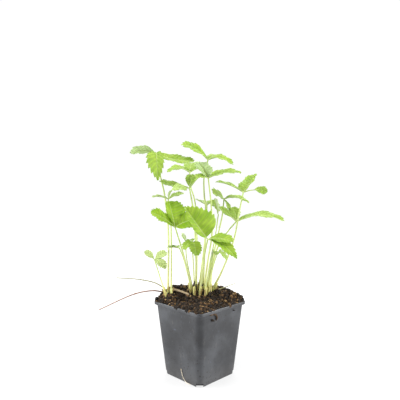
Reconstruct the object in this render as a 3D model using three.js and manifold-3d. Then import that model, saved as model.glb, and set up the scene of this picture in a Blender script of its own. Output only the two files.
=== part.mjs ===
// A young strawberry plant in a square nursery pot.
// Millimetres, +Z up. The origin is the middle of the pot's base, and the pot's sides run along X and Y.
import * as THREE from "three";
import { mergeVertices } from "three/addons/utils/BufferGeometryUtils.js";
import Module from "manifold-3d";

const wasm = await Module();
wasm.setup();

// Pot: outer widths across the flats, and the wall between outside and inside.
const potHeight = 99;
const potBaseWidth = 68.5;
const potTopWidth = 86;
const potBaseCorner = 8;
const potTopCorner = 9;
const rimWidth = 90;
const rimHeight = 4.5;
const rimCorner = 7;
const rimEase = 0.6; // the softened edges of the rim
const rimMouth = 85.6;
const wall = 1.1;
const floorThickness = 1.6;
const cornerSegments = 5;
const footChamfer = { height: 1.5, inset: 1 };
const drainSlot = { width: 9, height: 5, depth: 20 }; // one at the foot of each corner
const drainHole = { radius: 4, spread: 17, sides: 14 }; // four in the floor, round a solid middle

// Soil: it fills the pot and mounds above the rim.
const soilBottom = 2.2;
const soilClearance = 0.4;
const soilEdge = 97;
const soilShoulder = 4; // depth of soil against the wall, below its edge
const frontRise = 8; // how far the soil climbs from the rim to the crown, in front of it
// The ridge it is heaped into, from left to right through the crowns: [x, height].
const ridge = [
  [-60, 103],
  [-53, 106.5],
  [-46, 110.5],
  [-40, 113.5],
  [-33, 114.3],
  [-16, 111.5],
  [18, 111.5],
  [29, 112],
  [43, 109],
  [53, 106.5],
  [60, 103],
];
const moundRings = 10;
const soilEase = 0.2;
const fit = 0.35; // gap kept between pieces that touch

// Crowns: the short woody stems that the leaves grow from, half sunk in the soil.
const crowns = [
  { name: "crown_main", at: [3, 2, 103], radii: [23, 15, 12] },
  { name: "crown_left", at: [-40, -8, 104], radii: [6, 5, 6] },
];

// Leaves. Each has a foot on its crown [x, y], points that its stalk passes, the joint at the top of the
// stalk, and its leaflets: tip from the joint, width, bow (how far the middle arches up), roll (right edge
// down, seen from the joint). Where needed it also has twist (more roll at the tip), neck (its bare stalk),
// lean (sideways shift of the middle, x and y), wide (where it is widest, from base to tip) and skew (how
// much wider the right half is than the left).
// x runs to the right of the plant's front, y to its back.
const leaves = [
  {
    name: "leaf_top_left",
    crown: 1,
    foot: [-42, -7],
    via: [[-42, 2, 150], [-43, 15, 196], [-48, 19, 240], [-54, 12, 270]],
    joint: [-57, 3, 295],
    leaflets: [
      { tip: [-34, -8, 1], width: 20, bow: 4, roll: 30 },
      { tip: [4, -26, -34], width: 22, bow: 14, lean: [-1, 0], roll: 0, wide: 0.6, skew: 0.2, point: 0.8 },
      { tip: [50, 8, -8], width: 22, bow: -3, roll: 30, neck: 3, wide: 0.45 },
    ],
  },
  {
    name: "leaf_top_middle",
    crown: 0,
    foot: [4, 7],
    via: [[7, 9, 173], [8, 13, 224], [6, 15, 240], [6, 14, 265]],
    joint: [11, 10, 288],
    leaflets: [
      { tip: [-36, 4, 20], width: 22, bow: 5, roll: -26 },
      { tip: [33, -6, -7], width: 18, bow: 6, roll: 18 },
      { tip: [16, 27, 7], width: 18, bow: 2, roll: 0 },
    ],
  },
  {
    name: "leaf_rear_left",
    crown: 0,
    foot: [-5, 5],
    via: [[-4, 16, 158], [-5, 29, 212], [-8, 33, 235], [-13, 36, 252]],
    joint: [-14, 36, 271],
    leaflets: [
      { tip: [-31, -2, 0], width: 18, bow: 6, roll: -22 },
      { tip: [2, 25, 14], width: 20, bow: 2, roll: 0 },
      { tip: [23, 10, 5], width: 18, bow: 3, roll: 5 },
    ],
  },
  {
    name: "leaf_high_left",
    crown: 0,
    foot: [-5, 0],
    via: [[-5, 1, 160], [-8, 7, 214], [-11, 11, 234]],
    joint: [-14, 15, 250],
    leaflets: [
      { tip: [-40, -7, 9], width: 17, bow: -1, roll: -26, neck: 2 },
      { tip: [3, 13, 18], width: 15, bow: 2, roll: 0 },
      { tip: [19, -6, 19], width: 15, bow: 2, roll: 20 },
    ],
  },
  {
    name: "leaf_small_left",
    crown: 1,
    foot: [-38, -9],
    via: [[-38, 2, 150], [-39, 7, 205]],
    joint: [-42, 3, 236],
    leaflets: [
      { tip: [-21, -4, 2], width: 12, bow: 2, roll: -10 },
      { tip: [25, -13, 12], width: 17, bow: 8, lean: [-4, -4], roll: 30 },
      { tip: [20, 9, 7], width: 14, bow: 1, roll: 14 },
    ],
  },
  {
    name: "leaf_broad_left",
    crown: 0,
    foot: [-11, -3],
    via: [[-16, -6, 139], [-23, -10, 169]],
    joint: [-32, -16, 200],
    leaflets: [
      { tip: [-30, -12, 20], width: 22, bow: 3, roll: -38 },
      { tip: [-9, 12, 33], width: 31, bow: 2, roll: 4, skew: 0.4, point: 0.5 },
      { tip: [33, 2, 10], width: 30, bow: 3, roll: 38, wide: 0.5 },
    ],
  },
  {
    name: "leaf_broad_front",
    crown: 0,
    foot: [0, -6],
    via: [[3, -10, 131], [6, -22, 163]],
    joint: [10, -34, 187],
    leaflets: [
      {
        tip: [-29, 5, 41],
        width: 33,
        bow: -1,
        roll: -58,
        neck: 3,
        wide: 0.36,
        skew: 0.5,
        point: 0.95,
        fold: 0.36,
      },
      { tip: [31, -10, -2], width: 20, bow: 3, roll: 24 },
      { tip: [35, -20, -21], width: 17, bow: 6, roll: 24, point: 0.8 },
    ],
  },
  {
    name: "leaf_top_right",
    crown: 0,
    foot: [18, 3],
    via: [[28, 1, 135], [39, -5, 164], [46, -9, 188], [51, -9, 216]],
    joint: [58, 3, 245],
    leaflets: [
      { tip: [-37, 2, 13], width: 18, bow: 3, roll: -8 },
      { tip: [19, 19, 24], width: 26, bow: 0, roll: -10, wide: 0.45, skew: -0.4 },
      { tip: [31, -5, 0], width: 13, bow: 3, roll: -6, twist: 70, neck: 14 },
    ],
  },
  {
    name: "leaf_high_right",
    crown: 0,
    foot: [12, 7],
    via: [[16, 12, 145], [26, 18, 190], [31, 20, 213]],
    joint: [33, 18, 235],
    leaflets: [
      { tip: [-15, -12, 7], width: 24, bow: 2, roll: -34, wide: 0.5 },
      { tip: [34, 1, -6], width: 16, bow: 5, roll: 16 },
      { tip: [9, -6, -19], width: 9, bow: 2, roll: 4, neck: 3 },
    ],
  },
  {
    name: "leaf_long_right",
    crown: 0,
    foot: [14, -1],
    via: [[17, 2, 146], [25, 5, 172], [38, 6, 192]],
    joint: [49, 1, 206],
    leaflets: [
      { tip: [-3, 13, 18], width: 15, bow: 1, roll: 0 },
      { tip: [-22, 2, 19], width: 10, bow: 0, roll: -44, neck: 7 },
      { tip: [61, -14, 2], width: 22, bow: 8, roll: 14, neck: 3, wide: 0.5 },
    ],
  },
  {
    name: "leaf_low_left",
    crown: 1,
    foot: [-43, -10],
    via: [[-47, -9, 117], [-57, 18, 134]],
    joint: [-63, 25, 150],
    leaflets: [
      { tip: [-14, 4, 11], width: 10, bow: 1, roll: -40 },
      { tip: [17, 6, 8], width: 13, bow: 2, roll: 36 },
      { tip: [16, -9, -11], width: 13, bow: 3, roll: 30 },
    ],
  },
  {
    name: "leaf_small_front",
    crown: 0,
    foot: [-7, -6],
    via: [[-8, -12, 143], [-9, -18, 165]],
    joint: [-9, -21, 182],
    leaflets: [
      { tip: [-11, -8, -9], width: 13, bow: 3, roll: -16 },
      { tip: [5, -12, -16], width: 17, bow: 4, roll: 0, wide: 0.55, point: 0.4 },
      { tip: [-5, 11, 1], width: 11, bow: 1, roll: 0 },
    ],
  },
  {
    name: "leaf_small_middle",
    crown: 0,
    foot: [-12, 2],
    via: [[-17, 0, 138], [-22, -3, 158]],
    joint: [-27, -4, 171],
    leaflets: [
      { tip: [-16, -4, 1], width: 12, bow: 1, roll: 22 },
      { tip: [-8, 12, 0], width: 11, bow: 1, roll: 0 },
      { tip: [-12, -10, 3], width: 10, bow: 1, roll: 0 },
    ],
  },
  {
    name: "leaf_under_front",
    crown: 0,
    foot: [11, -5],
    via: [[15, -7, 136], [20, -12, 156]],
    joint: [24, -17, 168],
    leaflets: [
      { tip: [11, -4, -10], width: 9, bow: 3, roll: 20 },
      { tip: [-3, -12, -2], width: 9, bow: 2, roll: 0 },
      { tip: [9, 8, -1], width: 9, bow: 2, roll: 0 },
    ],
  },
  {
    name: "leaf_rear_middle",
    crown: 0,
    foot: [-1, 9],
    via: [[4, 20, 150], [9, 27, 198]],
    joint: [10, 30, 226],
    leaflets: [
      { tip: [-16, -2, 8], width: 13, bow: 0, roll: 0 },
      { tip: [17, -2, -9], width: 16, bow: 6, roll: 24 },
      { tip: [-2, 28, 0], width: 19, bow: 4, roll: 0 },
    ],
  },
  {
    name: "leaf_high_middle",
    crown: 0,
    foot: [6, -1],
    via: [[11, -1, 154], [16, -4, 188], [15, -8, 227]],
    joint: [11, -10, 264],
    leaflets: [
      { tip: [-13, -16, 20], width: 25, bow: 2, roll: 0, wide: 0.5 },
      { tip: [42, -5, 6], width: 21, bow: 4, roll: 18, neck: 1, wide: 0.4 },
      { tip: [-15, -14, 0], width: 14, bow: 2, roll: -20 },
    ],
  },
];

// Young leaves, still folded shut along their midribs.
const youngLeaves = [
  {
    name: "young_leaf_right",
    foot: [9, 3],
    via: [[14, 5, 150], [21, 9, 185]],
    joint: [25, 10, 214],
    leaflets: [{ tip: [-6, 2, 21], width: 8, bow: 3, roll: 30, fold: 1.2 }],
  },
  {
    name: "young_leaf_left",
    foot: [-10, 6],
    via: [[-15, 2, 141], [-18, -4, 162]],
    joint: [-18, -8, 182],
    leaflets: [{ tip: [-5, -6, 10], width: 6, bow: -3, roll: 20, fold: 1.2 }],
  },
  {
    name: "young_leaf_front",
    foot: [7, -7],
    via: [[10, -12, 132]],
    joint: [15, -19, 154],
    leaflets: [{ tip: [3, -5, 18], width: 4, bow: 2, roll: 40, fold: 1.2 }],
  },
];

const blade = {
  thickness: 0.8,
  fold: 0.22,
  wide: 0.6,
  point: 0.6,
  neckWidth: 1.4,
  tipWidth: 1.2,
  hub: 1.4,
  steps: 7,
};
const stalk = { radius: 1.05, sides: 6, steps: 9 };

// Runners: bare threads that leave the soil and arch out over the rim, each given by its route.
const runner = { radius: 0.6, sides: 6, steps: 14 };
const runners = [
  { name: "runner_left_green", route: [[-45, 3, 112.8], [-59, 8, 120.5], [-81, 7, 126], [-112, 4, 129]] },
  { name: "runner_left_red", route: [[-49.5, 5, 109.6], [-63, -6, 114], [-85, -10, 111], [-133, -12, 90]] },
  { name: "runner_right", route: [[25, 3, 113.6], [35, 10, 115], [50, 24, 117]] },
];

const finishes = {
  pot: { color: 0x4c4e52, roughness: 0.5, metalness: 0 },
  soil: { color: 0x33251c, roughness: 1, metalness: 0 },
  crown: { color: 0x8a7a48, roughness: 0.85, metalness: 0 },
  leaf: { color: 0x8fbf3a, roughness: 0.55, metalness: 0 },
  stalk: { color: 0xcfdc9a, roughness: 0.5, metalness: 0 },
  runner: { color: 0xb49a72, roughness: 0.6, metalness: 0 },
};

function solidOf(geometry) {
  const bare = new THREE.BufferGeometry();
  bare.setAttribute("position", geometry.getAttribute("position"));
  bare.setIndex(geometry.index);
  const merged = mergeVertices(bare, 1e-4);
  return new wasm.Manifold(
    new wasm.Mesh({
      numProp: 3,
      vertProperties: merged.attributes.position.array,
      triVerts: new Uint32Array(merged.index.array),
    }),
  );
}

function geometryOf(solid) {
  const mesh = solid.getMesh();
  const geometry = new THREE.BufferGeometry();
  geometry.setAttribute("position", new THREE.BufferAttribute(mesh.vertProperties, mesh.numProp));
  geometry.setIndex(new THREE.BufferAttribute(mesh.triVerts, 1));
  return geometry;
}

function piece(name, geometry, finish) {
  const mesh = new THREE.Mesh(geometry, new THREE.MeshStandardMaterial(finish));
  mesh.name = name;
  return mesh;
}

// Joins rings of equal point counts into one closed skin, with a flat fan over the first and last ring.
function loft(rings) {
  const count = rings[0].length;
  const positions = rings.flat().flatMap((p) => p.toArray());
  const index = [];
  for (let ring = 0; ring < rings.length - 1; ring += 1) {
    for (let i = 0; i < count; i += 1) {
      const a = ring * count + i;
      const b = ring * count + ((i + 1) % count);
      index.push(a, b, b + count, a, b + count, a + count);
    }
  }
  [0, rings.length - 1].forEach((ring) => {
    const centre = new THREE.Vector3();
    rings[ring].forEach((p) => centre.addScaledVector(p, 1 / count));
    const middle = positions.length / 3;
    positions.push(...centre.toArray());
    for (let i = 0; i < count; i += 1) {
      const a = ring * count + i;
      const b = ring * count + ((i + 1) % count);
      index.push(middle, ...(ring === 0 ? [b, a] : [a, b]));
    }
  });
  const geometry = new THREE.BufferGeometry();
  geometry.setAttribute("position", new THREE.Float32BufferAttribute(positions, 3));
  geometry.setIndex(index);
  return geometry;
}

// A square with rounded corners, anticlockwise from above.
function roundedSquare(width, corner, z) {
  const points = [];
  const inner = width / 2 - corner;
  for (let quarter = 0; quarter < 4; quarter += 1) {
    const turn = (quarter * Math.PI) / 2;
    const centre = new THREE.Vector3(inner, inner, z).applyAxisAngle(new THREE.Vector3(0, 0, 1), turn);
    for (let i = 0; i <= cornerSegments; i += 1) {
      const angle = turn + (i / cornerSegments) * (Math.PI / 2);
      const out = new THREE.Vector3(Math.cos(angle), Math.sin(angle), 0);
      points.push(centre.clone().addScaledVector(out, corner));
    }
  }
  return points;
}

// The wall leans out evenly from the base to just under the rim.
function wallWidth(z) {
  return THREE.MathUtils.lerp(potBaseWidth, potTopWidth, z / (potHeight - rimHeight));
}

function wallCorner(z) {
  return THREE.MathUtils.lerp(potBaseCorner, potTopCorner, z / (potHeight - rimHeight));
}

// The block that cuts a drain slot at the foot of one corner, larger all round by grow.
function slotBlock(angle, grow) {
  const height = 2 * (drainSlot.height + grow);
  const block = new THREE.BoxGeometry(drainSlot.depth + 2 * grow, drainSlot.width + 2 * grow, height);
  block.translate(potBaseWidth / Math.SQRT2, 0, 0);
  block.rotateZ(angle);
  return solidOf(block);
}

const cornerAngles = [1, 3, 5, 7].map((eighth) => (eighth * Math.PI) / 4);

function makePot() {
  const rimFoot = potHeight - rimHeight;
  const skin = solidOf(
    loft([
      roundedSquare(potBaseWidth - 2 * footChamfer.inset, potBaseCorner - footChamfer.inset, 0),
      roundedSquare(wallWidth(footChamfer.height), wallCorner(footChamfer.height), footChamfer.height),
      roundedSquare(potTopWidth, potTopCorner, rimFoot),
      roundedSquare(rimWidth, rimCorner, rimFoot + rimEase),
      roundedSquare(rimWidth, rimCorner, potHeight - rimEase),
      roundedSquare(rimWidth - 2 * rimEase, rimCorner - rimEase, potHeight),
      roundedSquare(rimMouth, potTopCorner - wall, potHeight),
      roundedSquare(wallWidth(rimFoot) - 2 * wall, wallCorner(rimFoot) - wall, rimFoot),
      roundedSquare(wallWidth(floorThickness) - 2 * wall, wallCorner(0) - wall, floorThickness),
    ]),
  );
  let pot = skin;
  cornerAngles.forEach((angle) => {
    const hole = new THREE.CylinderGeometry(
      drainHole.radius,
      drainHole.radius,
      4 * floorThickness,
      drainHole.sides,
    );
    hole.rotateX(Math.PI / 2);
    hole.translate(drainHole.spread * Math.cos(angle), drainHole.spread * Math.sin(angle), 0);
    pot = pot.subtract(slotBlock(angle, 0)).subtract(solidOf(hole));
  });
  return piece("pot", geometryOf(pot), finishes.pot);
}

// Height of the ridge that the soil is heaped into, from left to right through the crowns.
function ridgeTop(x) {
  const next = Math.max(1, ridge.findIndex(([at]) => at > x));
  const [fromX, fromZ] = ridge[next - 1];
  const [toX, toZ] = ridge[next];
  return THREE.MathUtils.lerp(fromZ, toZ, (x - fromX) / (toX - fromX));
}

// Height of the soil's top, with x to the right of the plant's front and y to its back.
function soilHeight(x, y) {
  const { smoothstep, lerp } = THREE.MathUtils;
  const out = Math.min(1, (Math.abs(x) + Math.abs(y)) / 60);
  const front = frontRise * (1 - out ** 1.5);
  const heap = (ridgeTop(x) - soilEdge) * (1 - 0.7 * smoothstep(y, 18, 56));
  const back = heap * smoothstep(60 - 60 * out, -2, 5);
  const ripple = 0.4 * Math.sin(x / 6 + 1) * Math.cos(y / 5);
  return soilEdge + lerp(front, back, smoothstep(y, -18, 8)) + ripple;
}

function makeSoil(cutters) {
  const inner = (z) => wallWidth(z) - 2 * (wall + soilClearance);
  const innerCorner = (z) => wallCorner(z) - wall - soilClearance;
  const shoulder = soilEdge - soilShoulder;
  const rings = [
    roundedSquare(inner(soilBottom), innerCorner(soilBottom), soilBottom),
    roundedSquare(inner(shoulder), innerCorner(shoulder), shoulder),
  ];
  const edge = roundedSquare(inner(shoulder) - soilEase, innerCorner(shoulder), 0);
  for (let ring = 0; ring < moundRings; ring += 1) {
    const shrink = 1 - ring / moundRings;
    rings.push(
      edge.map((p) => {
        const x = (p.x + p.y) * Math.SQRT1_2 * shrink;
        const y = (p.y - p.x) * Math.SQRT1_2 * shrink;
        return new THREE.Vector3(p.x * shrink, p.y * shrink, soilHeight(x, y));
      }),
    );
  }
  let soil = solidOf(loft(rings));
  cutters.forEach((cutter) => {
    soil = soil.subtract(cutter);
  });
  return piece("soil", geometryOf(soil), finishes.soil);
}

function crownGeometry(crown, grow) {
  const ball = new THREE.SphereGeometry(1, 14, 8);
  ball.rotateX(Math.PI / 2);
  ball.scale(...crown.radii.map((r) => r + grow));
  ball.translate(...crown.at);
  return ball;
}

// Height of a crown's skin over one point.
function crownTop(crown, x, y) {
  const [cx, cy, cz] = crown.at;
  const [rx, ry, rz] = crown.radii;
  return cz + rz * Math.sqrt(Math.max(0, 1 - ((x - cx) / rx) ** 2 - ((y - cy) / ry) ** 2));
}

function tube(points, radius, sides, steps) {
  const section = new THREE.Shape();
  for (let i = 0; i < sides; i += 1) {
    const angle = (i / sides) * 2 * Math.PI;
    const corner = [radius * Math.cos(angle), radius * Math.sin(angle)];
    if (i === 0) {
      section.moveTo(...corner);
    } else {
      section.lineTo(...corner);
    }
  }
  const extrudePath = new THREE.CatmullRomCurve3(points);
  return new THREE.ExtrudeGeometry(section, { steps, extrudePath, bevelEnabled: false });
}

function makeStalk(leaf) {
  const crown = crowns[leaf.crown ?? 0];
  const [x, y] = leaf.foot;
  const foot = new THREE.Vector3(x, y, crownTop(crown, x, y) + 1);
  const via = leaf.via.map((p) => new THREE.Vector3(...p));
  const joint = new THREE.Vector3(...leaf.joint);
  const back = via.at(-1).clone().sub(joint).setLength(blade.hub + fit);
  const route = [foot, ...via, joint.clone().add(back)];
  return piece(leaf.name + "_stalk", tube(route, stalk.radius, stalk.sides, stalk.steps), finishes.stalk);
}

// Half the width of a leaflet, as a share of the widest place, from its base (0) to its tip (1).
function outline(u, wide, tipPower) {
  const basePower = (tipPower * wide) / (1 - wide);
  const peak = wide ** basePower * (1 - wide) ** tipPower;
  return (u ** basePower * (1 - u) ** tipPower) / peak;
}

function leafletGeometry(leaflet) {
  const tip = new THREE.Vector3(...leaflet.tip);
  const length = tip.length();
  const neck = (leaflet.neck ?? 1) / length;
  const fold = leaflet.fold ?? blade.fold;
  const [leanX, leanY] = leaflet.lean ?? [0, 0];
  const control = new THREE.Vector3(leanX, leanY, leaflet.bow).multiplyScalar(2).addScaledVector(tip, 0.5);
  const midrib = new THREE.QuadraticBezierCurve3(new THREE.Vector3(), control, tip);
  const up = new THREE.Vector3(0, 0, 1);
  const rows = [];
  for (let step = 0; step <= blade.steps; step += 1) {
    const u = step / blade.steps;
    const centre = midrib.getPoint(u);
    const along = midrib.getTangent(u);
    const side = new THREE.Vector3().crossVectors(along, up).normalize();
    side.applyAxisAngle(along, THREE.MathUtils.degToRad(leaflet.roll + u * (leaflet.twist ?? 0)));
    const face = new THREE.Vector3().crossVectors(side, along);
    const past = THREE.MathUtils.clamp((u - neck) / (1 - neck), 0, 1);
    const share = outline(past, leaflet.wide ?? blade.wide, leaflet.point ?? blade.point);
    const least = THREE.MathUtils.lerp(blade.neckWidth, blade.tipWidth, u) / 2;
    const half = Math.max(least, (leaflet.width / 2) * share);
    rows.push(
      [-1, 0, 1].map((across) => {
        const reach = half * (1 + across * (leaflet.skew ?? 0));
        const point = centre.clone().addScaledVector(side, across * reach);
        point.addScaledVector(face, Math.abs(across) * reach * fold);
        return { point, face };
      }),
    );
  }
  const skin = (row, gap) => row.map((p) => p.point.clone().addScaledVector(p.face, gap));
  const halfThick = blade.thickness / 2;
  return loft(rows.map((row) => [...skin(row, halfThick), ...skin(row, -halfThick).toReversed()]));
}

function makeBlade(leaf) {
  let solid = solidOf(new THREE.IcosahedronGeometry(blade.hub));
  leaf.leaflets.forEach((leaflet) => {
    solid = solid.add(solidOf(leafletGeometry(leaflet)));
  });
  const mesh = piece(leaf.name + "_blade", geometryOf(solid), finishes.leaf);
  mesh.position.set(...leaf.joint);
  return mesh;
}

function makeRunner({ name, route }) {
  const points = route.map((p) => new THREE.Vector3(...p));
  return piece(name, tube(points, runner.radius, runner.sides, runner.steps), finishes.runner);
}

// The plant faces the pot's front right corner, so its own axes are an eighth of a turn from the pot's.
const plant = new THREE.Group();
plant.rotation.z = Math.PI / 4;
crowns.forEach((crown) => {
  plant.add(piece(crown.name, crownGeometry(crown, 0), finishes.crown));
});
[...leaves, ...youngLeaves].forEach((leaf) => {
  plant.add(makeStalk(leaf), makeBlade(leaf));
});
runners.forEach((route) => {
  plant.add(makeRunner(route));
});

const crownCutters = crowns.map((crown) => {
  const ball = crownGeometry(crown, fit);
  ball.rotateZ(Math.PI / 4);
  return solidOf(ball);
});

const pottedStrawberry = new THREE.Group();
const slotCutters = cornerAngles.map((angle) => slotBlock(angle, fit));
pottedStrawberry.add(makePot(), makeSoil([...crownCutters, ...slotCutters]), plant);

export default pottedStrawberry;
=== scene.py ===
import math

import bpy
import numpy as np
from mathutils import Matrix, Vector, noise


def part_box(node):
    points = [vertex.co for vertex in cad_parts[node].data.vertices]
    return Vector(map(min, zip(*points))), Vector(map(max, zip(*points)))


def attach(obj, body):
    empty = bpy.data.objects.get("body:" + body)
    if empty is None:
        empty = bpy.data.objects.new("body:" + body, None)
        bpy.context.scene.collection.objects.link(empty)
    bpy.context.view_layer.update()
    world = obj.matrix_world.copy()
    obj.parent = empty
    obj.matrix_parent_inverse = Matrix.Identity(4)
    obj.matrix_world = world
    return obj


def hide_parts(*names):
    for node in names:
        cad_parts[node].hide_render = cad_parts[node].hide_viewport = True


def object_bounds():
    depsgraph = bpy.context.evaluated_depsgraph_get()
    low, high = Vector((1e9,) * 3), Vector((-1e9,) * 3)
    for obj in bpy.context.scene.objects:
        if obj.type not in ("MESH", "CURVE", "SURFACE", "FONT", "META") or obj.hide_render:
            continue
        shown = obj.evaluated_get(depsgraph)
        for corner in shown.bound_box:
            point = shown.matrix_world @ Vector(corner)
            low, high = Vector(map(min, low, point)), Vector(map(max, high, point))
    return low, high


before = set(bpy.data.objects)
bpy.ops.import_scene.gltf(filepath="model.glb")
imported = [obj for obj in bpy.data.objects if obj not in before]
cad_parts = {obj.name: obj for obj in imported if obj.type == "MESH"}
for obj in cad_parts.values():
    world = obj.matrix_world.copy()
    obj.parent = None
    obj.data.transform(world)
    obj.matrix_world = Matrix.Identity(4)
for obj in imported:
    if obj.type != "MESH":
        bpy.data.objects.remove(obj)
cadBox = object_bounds()
mm = 0.001
print("frame loaded:", len(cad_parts), "nodes")

# Camera and light. Plant coordinates are in millimetres: x right, y to the back, z up. The pot is an eighth
# of a turn round from them, so that a corner of it faces front.
camera = {"place": (0.3, -617, 272), "lens": 42, "sensor": 36, "tiltDown": 3.5}
lights = {
    "left": {"place": (-860, -190, 460), "size": 600, "power": 11.2},
    "right": {"place": (860, -150, 420), "size": 600, "power": 11.2},
    "top": {"place": (-120, -220, 980), "size": 600, "power": 5.6},
    "back": {"place": (80, 640, 620), "size": 800, "power": 5.4},
}
studio = {
    "skyLight": 0.3,
    "backdrop": 1.02,
    "floorRadius": 1.5,
    "floorGlow": 0.74,
    "farGlow": 1.0,
}


def toRow(points):
    points = np.asarray(points, float)
    x = points[..., 0:1]
    y = points[..., 1:2]
    half = math.sqrt(0.5)
    return np.concatenate([(x - y) * half, (x + y) * half, points[..., 2:3]], -1) * mm


def linear(red, green, blue):
    def one(value):
        value = value / 255
        return value / 12.92 if value <= 0.04045 else ((value + 0.055) / 1.055) ** 2.4

    return (one(red), one(green), one(blue), 1.0)


def linkNode(tree, kind, inputs=None, **settings):
    made = tree.nodes.new(kind)
    for key, value in settings.items():
        setattr(made, key, value)
    for key, value in (inputs or {}).items():
        if isinstance(value, bpy.types.NodeSocket):
            tree.links.new(value, made.inputs[key])
        else:
            made.inputs[key].default_value = value
    return made


def mathNode(tree, operation, first, second=0.0):
    return linkNode(tree, "ShaderNodeMath", {0: first, 1: second}, operation=operation).outputs[0]


def mixColour(tree, factor, first, second, blend="MIX"):
    inputs = {0: factor, 6: first, 7: second}
    made = linkNode(tree, "ShaderNodeMix", inputs, data_type="RGBA", blend_type=blend)
    return made.outputs[2]


def mapRange(tree, value, low, high, toLow=0.0, toHigh=1.0):
    inputs = {0: value, 1: low, 2: high, 3: toLow, 4: toHigh}
    return linkNode(tree, "ShaderNodeMapRange", inputs, interpolation_type="SMOOTHSTEP").outputs[0]


def noiseNode(tree, place, scale, detail=3.0, roughness=0.55):
    inputs = {"Vector": place, "Scale": scale, "Detail": detail, "Roughness": roughness}
    return linkNode(tree, "ShaderNodeTexNoise", inputs).outputs[0]


def rampNode(tree, value, stops):
    made = linkNode(tree, "ShaderNodeValToRGB", {0: value})
    marks = made.color_ramp.elements
    while len(marks) < len(stops):
        marks.new(0.5)
    for mark, (position, colour) in zip(marks, stops):
        mark.position = position
        mark.color = colour
    return made.outputs[0]


def startMaterial(name):
    material = bpy.data.materials.new(name)
    material.use_nodes = True
    tree = material.node_tree
    tree.nodes.clear()
    output = tree.nodes.new("ShaderNodeOutputMaterial")
    place = tree.nodes.new("ShaderNodeTexCoord").outputs["Object"]
    return material, tree, output, place


def finishSurface(tree, output, shader):
    tree.links.new(shader, output.inputs["Surface"])


def darken(tree, colour, amount):
    grey = linkNode(tree, "ShaderNodeCombineXYZ", {0: amount, 1: amount, 2: amount}).outputs[0]
    return mixColour(tree, 1.0, colour, grey, "MULTIPLY")


def readAttribute(tree, name):
    return linkNode(tree, "ShaderNodeAttribute", attribute_name=name)


def setStage():
    scene = bpy.context.scene
    data = bpy.data.cameras.new("camera")
    data.lens = camera["lens"]
    data.sensor_width = camera["sensor"]
    data.clip_start = 0.01
    data.clip_end = 50
    eye = bpy.data.objects.new("camera", data)
    scene.collection.objects.link(eye)
    eye.location = toRow(camera["place"])
    eye.rotation_euler = (math.radians(90 - camera["tiltDown"]), 0, math.radians(45))
    scene.camera = eye
    scene.view_settings.view_transform = "Standard"
    aim = Vector(toRow((0, 0, 150)))
    for name, light in lights.items():
        lamp = bpy.data.lights.new(name, "AREA")
        lamp.shape = "DISK"
        lamp.size = light["size"] * mm
        lamp.energy = light["power"]
        holder = bpy.data.objects.new(name, lamp)
        scene.collection.objects.link(holder)
        holder.location = toRow(light["place"])
        holder.rotation_euler = (aim - holder.location).to_track_quat("-Z", "Y").to_euler()
    world = bpy.data.worlds.new("studio")
    world.use_nodes = True
    tree = world.node_tree
    tree.nodes.clear()
    path = tree.nodes.new("ShaderNodeLightPath")
    sky = linkNode(tree, "ShaderNodeBackground", {0: (0.97, 0.985, 1, 1), 1: studio["skyLight"]})
    backdrop = linkNode(tree, "ShaderNodeBackground", {0: (1, 1, 1, 1), 1: studio["backdrop"]})
    inputs = {0: path.outputs[0], 1: sky.outputs[0], 2: backdrop.outputs[0]}
    mixed = linkNode(tree, "ShaderNodeMixShader", inputs)
    tree.links.new(mixed.outputs[0], tree.nodes.new("ShaderNodeOutputWorld").inputs[0])
    scene.world = world


def makeFloor():
    sides = 96
    rings = [0.0, 0.3, 0.8, 1.6, studio["floorRadius"]]
    points = [(0, 0, 0)]
    faces = []
    for ring in rings[1:]:
        for i in range(sides):
            angle = 2 * math.pi * i / sides
            points.append((ring * math.cos(angle), ring * math.sin(angle), 0))
    for i in range(sides):
        j = (i + 1) % sides
        faces.append((0, 1 + i, 1 + j))
        for ring in range(len(rings) - 2):
            a = 1 + ring * sides
            b = a + sides
            faces.append((a + i, b + i, b + j, a + j))
    mesh = bpy.data.meshes.new("floor")
    mesh.from_pydata(points, [], faces)
    floor = bpy.data.objects.new("floor", mesh)
    bpy.context.scene.collection.objects.link(floor)
    floor.location.z = cadBox[0].z - 0.0002
    material, tree, output, place = startMaterial("floor")
    grain = noiseNode(tree, place, 8.0)
    colour = mixColour(tree, grain, linear(110, 110, 111), linear(116, 116, 116))
    away = linkNode(tree, "ShaderNodeVectorMath", {0: place}, operation="LENGTH").outputs[1]
    glow = mapRange(tree, away, 0.12, 0.5, studio["floorGlow"], studio["farGlow"])
    seen = tree.nodes.new("ShaderNodeLightPath").outputs[0]
    glow = mathNode(tree, "MULTIPLY", glow, mapRange(tree, seen, 0, 1, 0.95, 1))
    inputs = {"Base Color": colour, "Roughness": 0.85}
    inputs.update({"Emission Color": (1, 1, 1, 1), "Emission Strength": glow})
    shader = linkNode(tree, "ShaderNodeBsdfPrincipled", inputs)
    finishSurface(tree, output, shader.outputs[0])
    mesh.materials.append(material)


setStage()
makeFloor()
print("camera, light and floor set")


def makePiece(name, points, faces, materials, slotOfFace=None, values=None, vectors=None, smooth=True):
    mesh = bpy.data.meshes.new(name)
    mesh.from_pydata(np.asarray(points).tolist(), [], faces)
    for material in materials:
        mesh.materials.append(material)
    if slotOfFace is not None:
        mesh.polygons.foreach_set("material_index", np.asarray(slotOfFace, np.int32))
    for key, data in (values or {}).items():
        layer = mesh.attributes.new(key, "FLOAT", "POINT")
        layer.data.foreach_set("value", np.asarray(data, np.float32))
    for key, data in (vectors or {}).items():
        layer = mesh.attributes.new(key, "FLOAT_VECTOR", "POINT")
        layer.data.foreach_set("vector", np.asarray(data, np.float32).ravel())
    mesh.polygons.foreach_set("use_smooth", [smooth] * len(mesh.polygons))
    mesh.update()
    made = bpy.data.objects.new(name, mesh)
    bpy.context.scene.collection.objects.link(made)
    return made


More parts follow.
